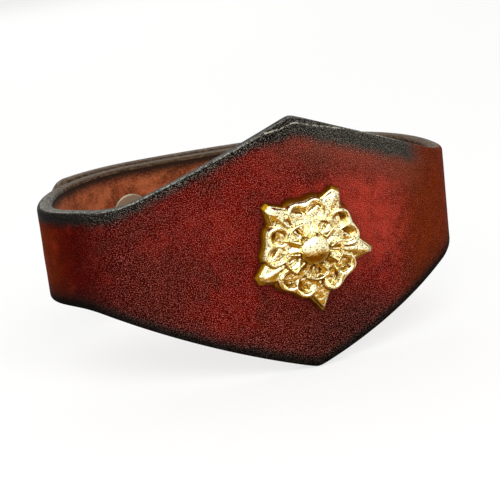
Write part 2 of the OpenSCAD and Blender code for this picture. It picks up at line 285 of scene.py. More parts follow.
def grid_faces(index, closed=False):
    """Quads of a grid of point numbers; closed joins its last column to its first."""
    wrapped = np.concatenate([index, index[:1]]) if closed else index
    quads = [wrapped[:-1, :-1], wrapped[1:, :-1], wrapped[1:, 1:], wrapped[:-1, 1:]]
    return np.stack(quads, axis=-1).reshape(-1, 4)


def smooth(low, high, x):
    """Rises from 0 at low to 1 at high along 3t^2 - 2t^3."""
    t = np.clip((x - low) / (high - low), 0, 1)
    return t * t * (3 - 2 * t)


def plan_chain(arcs, start):
    """Chains arcs of (centre, radius, from, to), angles in degrees, as s grows from start.

    Returns a function that takes s and n and gives x and y: the point at angle
    from + (s - s_from) / radius on the circle of radius - n round the arc's centre.
    """
    lengths = np.array([radius * math.radians(to - fro) for _, radius, fro, to in arcs])
    stops = start + np.concatenate([[0], np.cumsum(lengths)])
    centres = np.array([arc[0] for arc in arcs])
    radii = np.array([arc[1] for arc in arcs])
    froms = np.radians([arc[2] for arc in arcs])

    def place(s, n):
        """Where a point of the leather lies in the plan."""
        k = np.clip(np.searchsorted(stops, s, side="right") - 1, 0, len(arcs) - 1)
        angle = froms[k] + (s - stops[k]) / radii[k]
        reach = radii[k] - n
        return centres[k, 0] + reach * np.cos(angle), centres[k, 1] + reach * np.sin(angle)

    return place, stops


# The seam, at the left of the front, and the length from the middle of the back to its left corner
SEAM_S = -FRONT_RADIUS * math.radians(FRONT_TURN) - SIDE_RADIUS * math.radians(90 - FRONT_TURN)
BACK_LENGTH = BACK_RADIUS * math.radians(BACK_TURN)

# Front, right side, right back corner and outer end of the strap
lap_place, lap_stops = plan_chain(
    [
        ((SIDE_RADIUS - HALF_WIDTH, 0), SIDE_RADIUS, 180, 270 - FRONT_TURN),
        (FRONT_CENTRE, FRONT_RADIUS, 270 - FRONT_TURN, 270 + FRONT_TURN),
        ((HALF_WIDTH - SIDE_RADIUS, 0), SIDE_RADIUS, 270 + FRONT_TURN, 360),
        (RIGHT_CENTRE, RIGHT_RADIUS, 360, 450 - RIGHT_TURN),
        (BACK_CENTRE, BACK_RADIUS + LAYER_STEP, 450 - RIGHT_TURN, 450 + BACK_TURN),
        (LEFT_CENTRE, LEFT_RADIUS + LAYER_STEP, 450 + BACK_TURN, 540 - OUTER_END),
    ],
    SEAM_S,
)

# Inner end of the strap, up to the left side, where it runs on into the front
inner_turn = math.degrees(INNER_END / BACK_RADIUS)
inner_length = LEFT_RADIUS * math.radians(90 - BACK_TURN) + BACK_LENGTH + INNER_END
inner_place, inner_stops = plan_chain(
    [
        (BACK_CENTRE, BACK_RADIUS, 90 - inner_turn, 90 + BACK_TURN),
        (LEFT_CENTRE, LEFT_RADIUS, 90 + BACK_TURN, 180),
    ],
    SEAM_S - inner_length,
)


def slope_height(s, rise, run):
    """How far an edge of the front stands beyond the strap's edge at s.

    Each slope is a straight cut along the chord from the point to the slope's foot, with an
    arc at its foot; at the point the two cuts run into each other along a hyperbola.
    """
    height = np.zeros_like(s)
    here = np.array(lap_place(s, np.zeros_like(s)))
    point = np.array(lap_place(np.array([POINT_S]), np.zeros(1)))
    for side in (-1, 1):
        foot = np.array(lap_place(np.array([POINT_S + side * run]), np.zeros(1)))
        chord = foot - point
        length = float(np.hypot(*chord[:, 0]))
        u = ((here - point) * chord / length).sum(0)
        tilt = math.atan(rise / (length - POINT_HALF))
        round_u = length + SLOPE_RADIUS * math.tan(tilt / 2)
        tip = math.tan(tilt) * (length - np.sqrt(u**2 + POINT_HALF**2))
        back = np.clip(round_u - u, 0, SLOPE_RADIUS)
        fillet = SLOPE_RADIUS - np.sqrt(SLOPE_RADIUS**2 - back**2)
        value = np.where(back < SLOPE_RADIUS * math.sin(tilt), fillet, tip)
        mine = (side * (s - POINT_S) >= 0) & (np.abs(s - POINT_S) < run + 2 * STRAP_HALF)
        height = np.where(mine, value, height)
    return height


def edge_slopes(s, side):
    """The rise of the upper edge and the drop of the lower one; the inner end, side -1, has none."""
    rise, fall = slope_height(s, UPPER_RISE, UPPER_RUN), slope_height(s, LOWER_DROP, LOWER_RUN)
    return rise * (side > 0), fall * (side > 0)


def waves(s, z, size, seed):
    """Soft waves between -1 and 1: the mean of nine sines of random direction, about size long."""
    rng = np.random.default_rng(seed)
    turns = rng.uniform(0, 2 * math.pi, (9, 2))
    lengths = size * rng.uniform(0.6, 1.7, 9)
    total = np.zeros(np.shape(s))
    for (heading, phase), length in zip(turns, lengths):
        total += np.sin((s * math.cos(heading) + z * math.sin(heading)) * 2 * math.pi / length + phase)
    return total / 9


def strip_outline(side, length, columns, rows):
    """Outline of a strip in its flat pattern, from the seam's top round the free end to the seam's foot.

    The free end runs down its arc, its flat and its lower arc, in as many steps as there are
    rows. Returns a, z and the outward direction along the outline, and the points on a long side.
    """
    straight = length - END_RADIUS
    end_angle = np.linspace(0, math.pi / 4, BEND_STEPS + 1)[1:]
    bend_a = straight + END_RADIUS * np.sin(end_angle)
    a_line = np.concatenate([np.linspace(0, straight, columns), bend_a])
    drop = np.concatenate([np.zeros(columns), END_RADIUS * (1 - np.cos(end_angle))])
    rise, fall = edge_slopes(SEAM_S + side * a_line, side)
    upper = STRAP_HALF + rise - drop
    lower = -STRAP_HALF - fall + drop

    arc_length = END_RADIUS * math.pi / 4
    down = np.linspace(0, 2 * (arc_length + FLAT_HALF), rows + 1)[1:-1]
    on_flat = np.clip(down - arc_length, 0, 2 * FLAT_HALF)
    angle = math.pi / 4 + (down - on_flat) / END_RADIUS
    end_a = straight + END_RADIUS * np.sin(angle)
    end_z = FLAT_HALF - on_flat + END_RADIUS * np.cos(angle)

    line_a = np.concatenate([a_line, end_a, a_line[::-1]])
    line_z = np.concatenate([upper, end_z, lower[::-1]])
    step_a, step_z = np.gradient(line_a), np.gradient(line_z)
    step = np.hypot(step_a, step_z)
    out_a, out_z = -step_z / step, step_a / step
    out_a[[0, -1]] = 0
    return (line_a, line_z, out_a, out_z), len(a_line)


def face_grid(outline, count, rows, inset):
    """Grid between the outline's two long sides, moved in by inset; its last columns lean to the end."""
    line_a, line_z, out_a, out_z = outline
    rim = np.stack([line_a - inset * out_a, line_z - inset * out_z], -1)
    top, foot = rim[:count], rim[: -count - 1 : -1]
    end = rim[count - 1 : count + rows][::-1]
    v = np.linspace(0, 1, rows + 1)[None, :, None]
    flat = foot[:, None] * (1 - v) + top[:, None] * v
    a_line = line_a[:count]
    straight = a_line[-1 - BEND_STEPS]
    lean = smooth(straight - 2 * END_RADIUS, a_line[-1], a_line)[:, None, None]
    return flat + lean * (end[None] - flat[-1:])


def edge_profile(grain_round, flesh_round):
    """Profile of the cut edge, two quarter circles and a flat: insets from the outline, and depths."""
    quarter = np.linspace(0, math.pi / 2, 6)
    insets = grain_round * (1 - np.sin(quarter)), [0, 0], flesh_round * (1 - np.cos(quarter))
    upper = grain_round * (1 - np.cos(quarter))
    flat = grain_round + (THICKNESS - grain_round - flesh_round) * np.array([1 / 3, 2 / 3])
    lower = THICKNESS - flesh_round * (1 - np.sin(quarter))
    return np.concatenate(insets), np.concatenate([upper, flat, lower])


def edge_distances(a, z, side, straight):
    """Distances to the upper cut edge, the lower one and the free end, in the flat pattern."""
    rise, fall = edge_slopes(SEAM_S + side * a, side)
    to_top = (STRAP_HALF + rise - z) * np.where(rise > 0, SLANT, 1)
    to_foot = (z + STRAP_HALF + fall) * np.where(fall > 0, SLANT, 1)
    corner_a, corner_z = a - straight, np.abs(z) - FLAT_HALF
    outside = np.hypot(np.maximum(corner_a, 0), np.maximum(corner_z, 0))
    to_end = END_RADIUS - outside - np.minimum(np.maximum(corner_a, corner_z), 0)
    # Away from the end the distance grows along the strap, so that the end's ink tapers off
    return to_top, to_foot, to_end + END_TAPER * np.maximum(-corner_a, 0)


def cut_holes(holes, s, z, grain_index, flesh_index):
    """Finds the cells inside the holes, and moves the points round them, in s and z, to the circles."""
    grid_s, grid_z = s[grain_index], z[grain_index]
    middle_s = (grid_s[:-1, :-1] + grid_s[1:, 1:]) / 2
    middle_z = (grid_z[:-1, :-1] + grid_z[1:, 1:]) / 2
    gone = np.zeros(middle_s.shape, bool)
    for hole_s, radius in holes:
        here = np.hypot(middle_s - hole_s, middle_z) < radius
        gone |= here
        touched = np.zeros(grain_index.shape, bool)
        for corner in (touched[:-1, :-1], touched[1:, :-1], touched[:-1, 1:], touched[1:, 1:]):
            corner |= here
        for index in (grain_index, flesh_index):
            k = index[touched]
            away = np.maximum(np.hypot(s[k] - hole_s, z[k]), 1e-6)
            s[k] = hole_s + (s[k] - hole_s) * radius / away
            z[k] = z[k] * radius / away
    return gone


def hole_walls(gone, grain_index, flesh_index):
    """Walls of the holes: a quad between the two faces on each cell side at a hole's edge."""
    walls = []
    for axis in (0, 1):
        first = np.take(gone, range(gone.shape[axis] - 1), axis=axis)
        second = np.take(gone, range(1, gone.shape[axis]), axis=axis)
        for here, turned in ((first & ~second, axis == 1), (second & ~first, axis == 0)):
            i, j = np.nonzero(here)
            low, high = (i + 1 - axis, j + axis), (i + 1, j + 1)
            if turned:
                low, high = high, low
            quad = [grain_index[low], grain_index[high], flesh_index[high], flesh_index[low]]
            walls.append(np.stack(quad, -1))
    return np.concatenate(walls)


def leather_strip(name, place, side, length, grid, holes, dents, materials, settings):
    """A strip of leather as a closed skin, from the seam to its round-cornered free end.

    Both faces are a grid between an upper and a lower edge curve, worked out in the flat
    pattern (a, z), where a is the distance from the seam. The edge between them is a profile,
    carried along the outline square to it. holes are (s, radius) and dents are
    (s, radius, fade, depth on the grain, depth on the flesh), all at the strap's middle.
    """
    columns, rows = grid
    rounds = settings.grain_round / MM, settings.flesh_round / MM
    outline, count = strip_outline(side, length, columns, rows)
    grain, flesh = (face_grid(outline, count, rows, inset) for inset in rounds)
    first_flesh = grain.shape[0] * grain.shape[1]
    grain_index = np.arange(first_flesh).reshape(grain.shape[:2])
    flesh_index = grain_index + first_flesh

    # Rings along the cut edge, of which the first and the last are the rims of the two faces
    line_a, line_z, out_a, out_z = outline
    inset, depth = edge_profile(*rounds)
    rings, around = len(inset), len(line_a)
    grain_rim, flesh_rim = (
        np.concatenate([index[:, -1], index[-1, -2:0:-1], index[::-1, 0]])[None]
        for index in (grain_index, flesh_index)
    )
    between = 2 * first_flesh + np.arange((rings - 2) * around).reshape(rings - 2, around)
    ring_index = np.concatenate([grain_rim, between, flesh_rim])
    ring_a = line_a[None] - inset[1:-1, None] * out_a[None]
    ring_z = line_z[None] - inset[1:-1, None] * out_z[None]
    ring_n = np.repeat(depth[1:-1, None], around, axis=1)

    a = np.concatenate([grain[..., 0].ravel(), flesh[..., 0].ravel(), ring_a.ravel()])
    z = np.concatenate([grain[..., 1].ravel(), flesh[..., 1].ravel(), ring_z.ravel()])
    n = np.concatenate([np.zeros(first_flesh), np.full(first_flesh, THICKNESS), ring_n.ravel()])
    s = SEAM_S + side * a
    on_flesh = n / THICKNESS
    to_edges = np.stack(edge_distances(a, z, side, length - END_RADIUS), -1)
    gone = cut_holes(holes, s, z, grain_index, flesh_index)

    for dent_s, radius, fade, on_grain, on_back in dents:
        near = 1 - smooth(radius, radius + fade, np.hypot(s - dent_s, z))
        n = n + near * (on_grain * (1 - on_flesh) - on_back * on_flesh)
    inland = smooth(0, 4, to_edges.min(-1))
    wave = waves(s, z, 9.0, 3) + 0.5 * waves(s, z, 3.6, 5)
    n = n + settings.waviness / MM * inland * wave * (1 - 0.2 * on_flesh)

    # Faces: grain 0, cut edge 1 and flesh 2; the grain runs over the first rings of the edge
    kept = ~gone.ravel()
    ring_faces = grid_faces(ring_index.T).reshape(around - 1, rings - 1, 4)
    seam_grain, seam_flesh = grain_index[0], flesh_index[0]
    faces = [
        (grid_faces(grain_index)[kept], 0),
        (ring_faces[:, :GRAIN_RINGS].reshape(-1, 4), 0),
        (ring_faces[:, GRAIN_RINGS:].reshape(-1, 4), 1),
        (np.stack([seam_grain[:-1], seam_grain[1:], seam_flesh[1:], seam_flesh[:-1]], -1), 1),
        (ring_index[:, 0][None], 1),
        (ring_index[:, -1][None, ::-1], 1),
        (grid_faces(flesh_index)[kept][:, ::-1], 2),
        (hole_walls(gone, grain_index, flesh_index), 1),
    ]
    if side < 0:
        faces = [(f[:, ::-1], number) for f, number in faces]
    attributes = {"leather_place": np.stack([s, z, n], -1), "to_edges": to_edges}
    moved = z + PATTERN_SIZE / 4 * np.where(n > THICKNESS / 2, 1, -1)
    uv = np.stack([s, moved], -1) / PATTERN_SIZE + 0.5
    return mesh_object(name, frame_points(*place(s, n), z), faces, materials, attributes, uv)


# Kinds of node: Blender's name, settings, the inputs in the order they are given, and the output
OPERATIONS = ("MULTIPLY", "ADD", "SUBTRACT", "MAXIMUM", "MULTIPLY_ADD", "ABSOLUTE")
KINDS = {
    **{name.lower(): ("ShaderNodeMath", {"operation": name}, (0, 1, 2), "Value") for name in OPERATIONS},
    "attribute": ("ShaderNodeAttribute", {}, (), "Vector"),
    "bump": ("ShaderNodeBump", {}, ("Distance", "Height", "Normal", "Strength"), "Normal"),
    "coordinates": ("ShaderNodeTexCoord", {}, (), "Object"),
    "emission": ("ShaderNodeEmission", {}, ("Color", "Strength"), "Emission"),
    "mix": ("ShaderNodeMix", {"data_type": "RGBA"}, (0, 6, 7), 2),
    "noise": ("ShaderNodeTexNoise", {}, ("Vector", "Scale", "Detail", "Roughness"), "Fac"),
    "output": ("ShaderNodeOutputMaterial", {}, ("Surface",), None),
    "range": ("ShaderNodeMapRange", {"interpolation_type": "SMOOTHSTEP"}, (0, 1, 2, 3, 4), "Result"),
    "rays": ("ShaderNodeLightPath", {}, (), None),
    "separate": ("ShaderNodeSeparateXYZ", {}, ("Vector",), None),
    "shader": (
        "ShaderNodeBsdfPrincipled",
        {},
        ("Base Color", "Normal", "Roughness", "Metallic", "Specular IOR Level", "Sheen Weight"),
        "BSDF",
    ),
    "shader_mix": ("ShaderNodeMixShader", {}, (0, 1, 2), "Shader"),
    "vector_maths": ("ShaderNodeVectorMath", {"operation": "MULTIPLY"}, (0, 1), "Vector"),
    "background": ("ShaderNodeBackground", {}, ("Color", "Strength"), "Background"),
    "world_output": ("ShaderNodeOutputWorld", {}, ("Surface",), None),
    "voronoi": ("ShaderNodeTexVoronoi", {}, ("Vector", "Scale"), "Distance"),
}


def node(tree, kind, *values, **settings):
    """Adds a node of a kind in KINDS, sets or links its inputs in their order, and gives its output."""
    name, usual, inputs, output = KINDS[kind]
    made = tree.nodes.new(name)
    for key, value in {**usual, **settings}.items():
        setattr(made, key, value)
    for key, value in zip(inputs, values):
        if isinstance(value, bpy.types.NodeSocket):
            tree.links.new(value, made.inputs[key])
        elif value is not None:
            made.inputs[key].default_value = value
    return made.outputs if output is None else made.outputs[output]


def material(name):
    """An empty node material, and the function that adds a node to it."""
    made = bpy.data.materials.new(name)
    made.use_nodes = True
    made.node_tree.nodes.clear()
    return made, partial(node, made.node_tree)


def leather_coordinates(add):
    """The leather's own place in millimetres, its s, z and n, and the distances to top, foot and end."""
    place = add("attribute", attribute_name="leather_place")
    edges = add("attribute", attribute_name="to_edges")
    return place, add("separate", place), add("separate", edges)


def grain_leather(settings):
    """Vegetable-tanned cowhide, dyed oxblood by hand and antiqued towards its edges.

    To the eye: a fine grain with painted glints in points, a warm red heart round the rose that is
    partly dye and partly painted light, a painted shadow below the rose, a brown cast at the sides,
    and black where the edge was burnished, with painted sheen and a painted highlight line on it.
    """
    made, add = material("oxblood_vegetable_tanned_grain")
    place, (s, z, _), (to_top, to_foot, to_end) = leather_coordinates(add)
    cloud = add("noise", place, 1 / 9, 3.0, 0.6)
    mottle = add("noise", place, 1 / 2.5, 3.0, 0.6)

    def blot(middle, half, low, high, share):
        """How much of a blot lies at a place, from its middle and half sizes along s and z."""
        along = add("multiply_add", s, 1 / half[0], -middle[0] / half[0])
        up = add("multiply_add", z, 1 / half[1], -middle[1] / half[1])
        away = add("multiply_add", along, along, add("multiply", up, up))
        return add("range", add("multiply_add", mottle, 0.9, away), high, low, 0.0, share)

    # Dye in clouds 9 mm and 2.5 mm across: a bright heart behind the rose, partly dye and partly painted
    # light, a brown blot under it, which is a painted shadow of the rose, and another left of the middle
    dye = add("mix", add("range", s, -2.0, -30.0), settings.main_dye, settings.deep_dye)
    dye = add("mix", add("range", cloud, 0.50, 0.36, 0.0, 0.8), dye, settings.brown_dye_and_shadow)
    dye = add("mix", add("range", cloud, 0.52, 0.68, 0.0, 0.30), dye, settings.bright_dye_and_light)
    # Painted light: the bright heart round the rose is partly dye and partly painted light
    dye = add("mix", blot((16.0, 1.0), (17.0, 9.5), 0.5, 1.9, 1.0), dye, settings.bright_dye_and_light)
    dye = add("mix", blot((-21.0, -5.0), (8.0, 8.0), 0.5, 1.7, 0.75), dye, settings.brown_dye_and_shadow)
    # Painted shadow: the brown blot below the rose
    dye = add("mix", blot((10.0, -19.0), (17.0, 10.0), 0.6, 1.7, 0.9), dye, settings.brown_dye_and_shadow)
    side = add("maximum", add("range", s, -37.0, -48.0), add("range", s, 22.0, 34.0))
    dye = add("mix", side, dye, settings.side_dye)
    dye = add("mix", add("range", mottle, 0.35, 0.7, 0.0, 0.3), dye, linear("000000"))

    # Burnish: a black border along the top, smoke behind the rose's upper right that is partly a smoky
    # finish and partly painted sheen, and a foot that is black at the left and brown at the right
    ragged = add("multiply_add", mottle, 2.2, -1.1)
    near_top = add("multiply_add", ragged, 0.8, to_top)
    near_foot = add("multiply_add", ragged, 0.6, to_foot)
    near_end = add("add", to_end, ragged)
    # Painted sheen: a lighter grey-brown over the dye behind the rose's upper right, partly a smoky
    # finish
    smoke_and_sheen = add("multiply", add("range", s, -4.0, 14.0), add("range", s, 38.0, 28.0))
    smoke_and_sheen = add("multiply", add("range", near_top, 12.0, 2.0, 0.0, 0.65), smoke_and_sheen)
    dye = add("mix", smoke_and_sheen, dye, linear("70402e"))
    shade = add("mix", add("range", s, 18.0, 30.0), linear("140c0a"), linear("2a1206"))
    reach = add("multiply", add("range", s, 0.0, 10.0, 0.0, 4.0), add("range", s, 23.0, 15.0))
    shady = add("range", add("subtract", near_foot, reach), 6.0, 1.0, 0.0, 0.75)
    dye = add("mix", shady, dye, shade)
    near_top = add("subtract", near_top, add("range", s, -4.0, 8.0, 0.0, 1.9))
    near_top = add("subtract", near_top, add("range", s, -20.0, -32.0, 0.0, 0.8))
    top_ink = add("multiply", add("range", near_top, 2.8, 0.4), add("range", s, 36.0, 30.0, 0.1, 1.0))
    ink = add("maximum", top_ink, add("range", near_foot, 2.9, 0.7))
    ink = add("maximum", ink, add("range", near_end, 4.0, 0.8))
    # Painted sheen: right of the point and away from the foot the ink is dark grey in place of black
    grey_ink_sheen = add("multiply", add("range", s, 4.0, 14.0), add("range", near_foot, 8.0, 12.0))
    dye = add("mix", ink, dye, add("mix", grey_ink_sheen, settings.edge_ink, linear("2a2824")))

    # Grain: dark pores and painted glints 0.13 mm across, the glints pink on the dye and grey on the ink
    grain = add("noise", place, 1 / 0.13, 0.0)
    lively = add("range", s, -38.0, -25.0, 0.15, 1.0)
    lively = add("multiply", lively, add("range", s, 24.0, 34.0, 1.0, 0.5))
    quiet = add("multiply", add("range", near_foot, 0.5, 3.0, 0.15, 1.0), lively)
    pore = add("multiply", add("range", grain, 0.46, 0.36, 0.0, 0.8), lively)
    # Painted glints: pale points of colour that stand in for the grain's tiny highlights
    point = add("multiply", add("range", grain, 0.63, 0.73, 0.0, 0.7), quiet)
    dye = add("mix", pore, dye, linear("100000"))
    dye = add("mix", point, dye, add("mix", ink, linear("e4786c"), linear("aca898")))

    # A painted highlight line, set like a crease, that rises to the corner on both sides of the point,
    # and is broken into pale dashes
    depth = add("multiply", add("range", s, 0.0, 5.5), add("range", s, 8.0, 20.0, 0.85, 0.0))
    corner_highlight = add("add", add("subtract", to_top, depth), -0.07)
    corner_highlight = add("range", add("absolute", corner_highlight), 0.18, 0.05)
    highlight_dashes = add("range", add("noise", place, 1 / 0.5, 3.0, 0.7), 0.42, 0.60, 0.0, 0.7)
    highlight_dashes = add("multiply", highlight_dashes, add("range", s, 31.0, 26.0, 0.1, 1.0))
    highlight_dashes = add("multiply", highlight_dashes, add("range", s, -36.0, -27.0, 0.1, 1.0))
    # Painted highlight: the pale line along the top edge's corner
    dye = add("mix", add("multiply", corner_highlight, highlight_dashes), dye, linear("c0bcac"))

    normal = add("bump", 0.10 * MM, add("noise", place, 1 / 1.6, 2.0))
    normal = add("bump", 0.04 * MM, add("voronoi", place, 1 / 0.55), normal)
    normal = add("bump", 0.03 * MM, grain, normal)
    rough = add("range", grain, 0.3, 0.7, 0.8, 0.6)
    shine = add("range", top_ink, 0.3, 1.0, 0.01, 0.05)
    add("output", add("shader", dye, normal, rough, 0.0, shine))
    return made


def burnished_edge(settings):
    """Cut edge of vegetable-tanned leather, inked black and rubbed with a bone slicker.

    To the eye: a charcoal band with a soft shine and faint layers of fibre, with pale flecks along its
    corners that are painted glints, a painted grey sheen at the left of the front, and browner where the
    ink is thin towards the back.
    """
    made, add = material("burnished_leather_edge")
    place, (s, _, n), (_, to_foot, _) = leather_coordinates(add)
    fibre = add("vector_maths", place, (1.0, 1.0, 5.0))
    strands = add("noise", fibre, 1 / 1.1, 3.0, 0.6)
    wear = add("noise", place, 1 / 0.22, 2.0, 0.7)
    blot = add("noise", place, 1 / 1.5, 3.0, 0.6)
    colour = add("mix", add("range", strands, 0.40, 0.8), settings.edge_ink, linear("3c362e"))
    # Painted sheen: the left end of the front's edge is light grey away from the grain side
    grey_sheen = add("mix", add("range", strands, 0.3, 0.7), linear("1c1a16"), linear("6e6a60"))
    inward = add("range", n, 0.25, 0.9)
    colour = add("mix", add("multiply", add("range", s, -24.0, -38.0), inward), colour, grey_sheen)
    brown = add("mix", add("range", strands, 0.3, 0.7), linear("20140a"), linear("5e4834"))
    back = add("maximum", add("range", s, -54.0, -66.0), add("range", s, 32.0, 40.0))
    colour = add("mix", back, colour, brown)
    # Painted glints, flecks 0.22 mm across; most lie towards the grain side, and none on its black
    # corner
    corner = add("multiply", add("range", n, 2.1, 0.7, 0.12, 0.9), add("range", n, 0.1, 0.5, 0.1, 1.0))
    edge_glint = add("multiply", add("range", wear, 0.52, 0.62), add("range", blot, 0.36, 0.56, 0.15, 0.9))
    edge_glint = add("multiply", edge_glint, add("range", s, -60.0, -40.0, 0.3, 1.0))
    edge_glint = add("multiply", edge_glint, add("range", to_foot, 1.0, 6.0, 0.1, 1.0))
    colour = add("mix", add("multiply", edge_glint, corner), colour, linear("ccc8bc"))
    normal = add("bump", 0.12 * MM, strands)
    normal = add("bump", 0.10 * MM, wear, normal)
    rough = add("range", wear, 0.3, 0.7, 0.40, 0.6)
    add("output", add("shader", colour, normal, rough, 0.0, 0.03))
    return made


def flesh_suede(settings):
    """Flesh side of vegetable-tanned cowhide, left as suede.

    To the eye: matt terracotta with fibres 0.5 mm long, cloudy patches, dark nicks, and a dark
    stained band along the cut edges where the ink ran over.
    """
    made, add = material("terracotta_flesh_suede")
    place, _, (to_top, to_foot, to_end) = leather_coordinates(add)
    cloud = add("noise", place, 1 / 4, 3.0, 0.55)
    nap = add("noise", place, 1 / 0.5, 3.0, 0.7)
    nicks = add("noise", place, 1 / 1.3, 2.0, 0.6)
    colour = add("mix", add("range", cloud, 0.34, 0.66), settings.suede_shade, settings.suede)
    colour = add("mix", add("range", nap, 0.40, 0.7, 0.0, 0.4), colour, linear("cc7c50"))
    colour = add("mix", add("range", nicks, 0.48, 0.32, 0.0, 0.38), colour, linear("4a3414"))
    ragged = add("multiply_add", nap, 1.6, -0.8)
    ink = add("range", add("add", to_top, ragged), 3.4, 0.8)
    foot = add("range", add("add", to_foot, ragged), 3.6, 0.8)
    end = add("range", add("add", to_end, ragged), 2.2, 0.8)
    ink = add("maximum", add("maximum", ink, foot), end)
    colour = add("mix", ink, colour, linear("2a1c14"))
    normal = add("bump", 0.14 * MM, nap)
    add("output", add("shader", colour, normal, 0.9, 0.0, 0.03, 0.04))
    return made


def gold_plate(settings):
    """Cast zinc plated with gold, polished on its ridges and left dark in its hollows.

    To the eye: bright pale gold with a hammered glitter, orange-brown patina in the hollows,
    painted shade on the slopes that face the foot, a painted orange-brown reflection on the walls, and
    olive pits. An attribute says how much patina and painted shade lie at each point.
    """
    made, add = material("polished_gold_plate")
    place = add("coordinates")
    hollow = add("attribute", attribute_name="hollow")
    grit = add("noise", place, 1 / (0.45 * MM), 3.0, 0.65)
    # Pits 0.3 mm across, coarser than the casting's own grain so that they show
    pits = add("noise", place, 1 / (0.3 * MM), 1.0, 0.5)
    patchy = add("multiply_add", grit, 0.5, -0.25)
    share = add("range", add("add", hollow, patchy), 0.05, 0.50)
    colour = add("mix", share, settings.gold, settings.patina)
    olive = add("range", pits, 0.57, 0.65, 0.0, 0.9)
    colour = add("mix", olive, colour, linear("4c4a10"))
    normal = add("bump", 0.035 * MM, grit)
    normal = add("bump", 0.03 * MM, pits, normal)
    rough = add("range", share, 0.0, 1.0, 0.14, 0.34)
    add("output", add("shader", colour, normal, rough, 1.0))
    return made


def plated_metal(name, colour, rough):
    """Plated or bare metal: a clear reflection broken by fine wear 0.35 mm across and dull patches."""
    made, add = material(name)
    place = add("coordinates")
    fine = add("noise", place, 1 / (0.35 * MM), 3.0, 0.6)
    cloud = add("noise", place, 1 / (2.5 * MM), 2.0)
    shade = add("mix", add("range", cloud, 0.3, 0.75, 0.0, 0.25), colour, linear("6e6458"))
    smear = add("range", fine, 0.3, 0.7, rough - 0.05, rough + 0.1)
    add("output", add("shader", shade, add("bump", 0.01 * MM, fine), smear, 1.0))
    return made


def placed(points, centre, radius, degrees, height):
    """Local millimetres, x along the wall, y up and z outwards at an angle, to the frame's metres."""
    angle = math.radians(degrees)
    outward = np.array([math.cos(angle), math.sin(angle), 0])
    tangent = np.array([-math.sin(angle), math.cos(angle), 0])
    at = [*centre, height] + radius * outward + points @ np.array([tangent, [0, 0, 1], outward])
    return frame_points(*at.T)


def on_front(points):
    """Places points on the front at the rose."""
    degrees = math.degrees(ROSE_S / FRONT_RADIUS) - 90
    return placed(points, FRONT_CENTRE, FRONT_RADIUS, degrees, ROSE_Z)


def on_back(s):
    """A function that places points on the inner layer, s from the middle of the back to the left."""
    if s > BACK_LENGTH:
        degrees = 90 + BACK_TURN + math.degrees((s - BACK_LENGTH) / LEFT_RADIUS)
        return lambda points: placed(points, LEFT_CENTRE, LEFT_RADIUS, degrees, 0)
    degrees = 90 + math.degrees(s / BACK_RADIUS)
    return lambda points: placed(points, BACK_CENTRE, BACK_RADIUS, degrees, 0)


def capped_faces(index):
    """Faces of a skin on spokes: its grid, and a fan at each end to one of the last two points."""
    spokes, first_end = len(index), index.size
    after = np.roll(index, -1, axis=0)
    foot = np.stack([np.full(spokes, first_end), after[:, 0], index[:, 0]], -1)
    top = np.stack([np.full(spokes, first_end + 1), index[:, -1], after[:, -1]], -1)
    return [(grid_faces(index, closed=True), 0), (foot, 0), (top, 0)]


def revolved(profile, steps):
    """Points and faces of a closed profile of (radius, height) carried round the axis.

    A profile that starts and ends on the axis is closed with a fan at each end; any other
    profile is joined to its own start, as a ring.
    """
    on_axis = profile[0, 0] == 0
    body = profile[1:-1] if on_axis else profile
    turn = np.arange(steps)[:, None] * 2 * math.pi / steps
    reach, height = body.T
    height = np.repeat(height[None], steps, 0)
    points = np.stack([reach * np.cos(turn), reach * np.sin(turn), height], -1).reshape(-1, 3)
    index = np.arange(steps * len(body)).reshape(steps, len(body))
    if not on_axis:
        return points, [(grid_faces(np.concatenate([index, index[:, :1]], 1), closed=True), 0)]
    ends = [[0, 0, profile[0, 1]], [0, 0, profile[-1, 1]]]
    return np.concatenate([points, ends]), capped_faces(index)


def rounded(corners):
    """A profile from corners of (radius, height, rounding), with a curve in place of each corner.

    The curve is a quadratic one, (1-t)^2 p + 2t(1-t) q + t^2 r, between two points that lie the
    rounding away from the corner q.
    """
    corners = np.array(corners, float)
    profile = corners[:, :2]
    t = np.linspace(0, 1, 5)[:, None]
    out = []
    for k, rounding in enumerate(corners[:, 2]):
        here = profile[k]
        if rounding == 0:
            out.append(here[None])
            continue
        cuts = []
        for way in (profile[k - 1] - here, profile[(k + 1) % len(profile)] - here):
            size = np.hypot(*way)
            cuts.append(here + way / size * min(rounding, 0.49 * size))
        out.append((1 - t) ** 2 * cuts[0] + 2 * t * (1 - t) * here + t**2 * cuts[1])
    return np.concatenate(out)


# Relief of the rose, finer than in the part's source: shares of its radius and height, and degrees
LEAF_BASE_R = 0.74
LEAF_BASE_W = 0.18
LEAF_TIP_W = 0.025
LEAF_REACH = (0.985, 0.93, 0.965, 0.93, 1.02)
LOBE_R = 0.785
LOBE_ANGLE = 15.0
NOTCH_DEPTH = 0.04
PETAL_HALF = 31.0
PETAL_RIM = 0.068
PETAL_RIM_WIDTH = 0.070
CUP_R = 0.50
CUP_HALF = 27.0
CUP_RIM = 0.045
CUP_RIM_WIDTH = 0.036
FLANK = 0.012
BOSS_R = 0.235
SCOOP_R = 0.585
SCOOP_ANGLE = 14.0
SCOOP_SIZE = 0.185
SCOOP_DEPTH = 0.22
LEAF_LEVEL = 0.40
FLOOR_LEVEL = 0.42
RIM_RISE = 0.16
CUP_LEVEL = 0.50
CUP_RISE = 0.28
BOSS_LEVEL = 0.62
RIB_RISE = 0.07
RIB_WIDTH = 0.05
TIP_DROP = 0.14
TIP_WIDTH = 0.045

